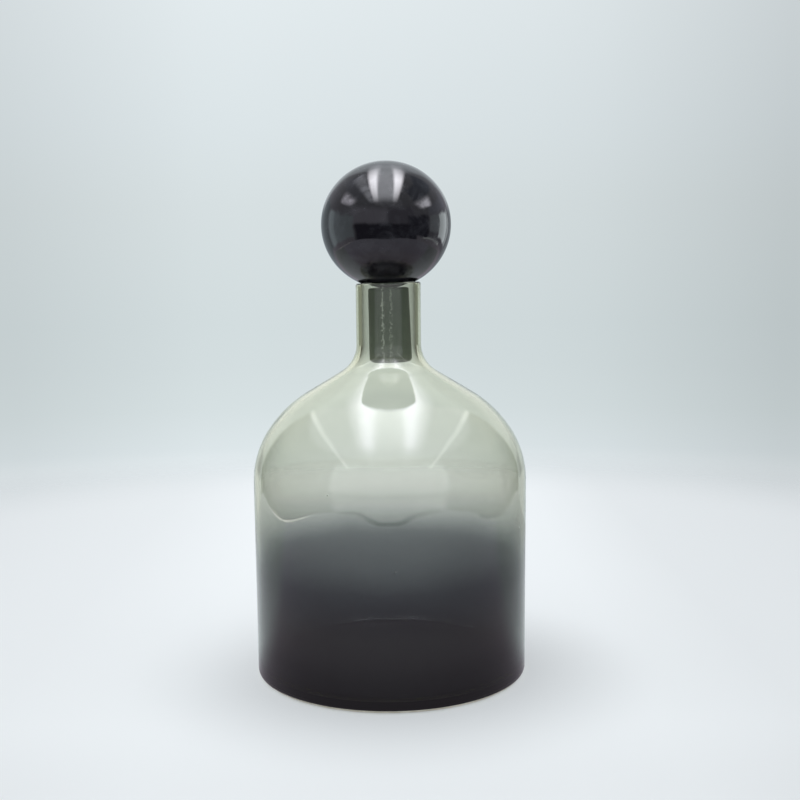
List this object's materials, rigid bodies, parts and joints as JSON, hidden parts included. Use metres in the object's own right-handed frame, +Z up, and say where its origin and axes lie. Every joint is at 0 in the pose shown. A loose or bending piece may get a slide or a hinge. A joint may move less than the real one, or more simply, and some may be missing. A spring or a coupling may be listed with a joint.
{
  "type": "decanter",
  "caption": "Domed glass decanter with a straight neck, a glass ball stopper that rests on the rim, and a ground plug that hangs in the neck.",
  "frame": {"origin": "middle of the face that the decanter stands on", "axes": "+Z up along the bottle's axis; +Y away from someone who sees the higher side of the mouth on their right; +X to their right"},
  "size_m": [0.18, 0.18, 0.3368],
  "materials": {
    "bottle_glass": "polished, smoked, fading from nearly clear at the top to near black at the foot",
    "ball_glass": "polished, opaque black",
    "ground_glass": "ground, satin"
  },
  "bodies": {
    "bottle": {"bottle": "bottle_glass"},
    "stopper": {"stopper_ball": "ball_glass", "stopper_plug": "ground_glass"}
  },
  "joints": [
    {"name": "stopper_lift", "type": "slide", "parent": "bottle", "child": "stopper", "axis": [0, 0, 1], "range_m": [0, 0.1]}
  ]
}
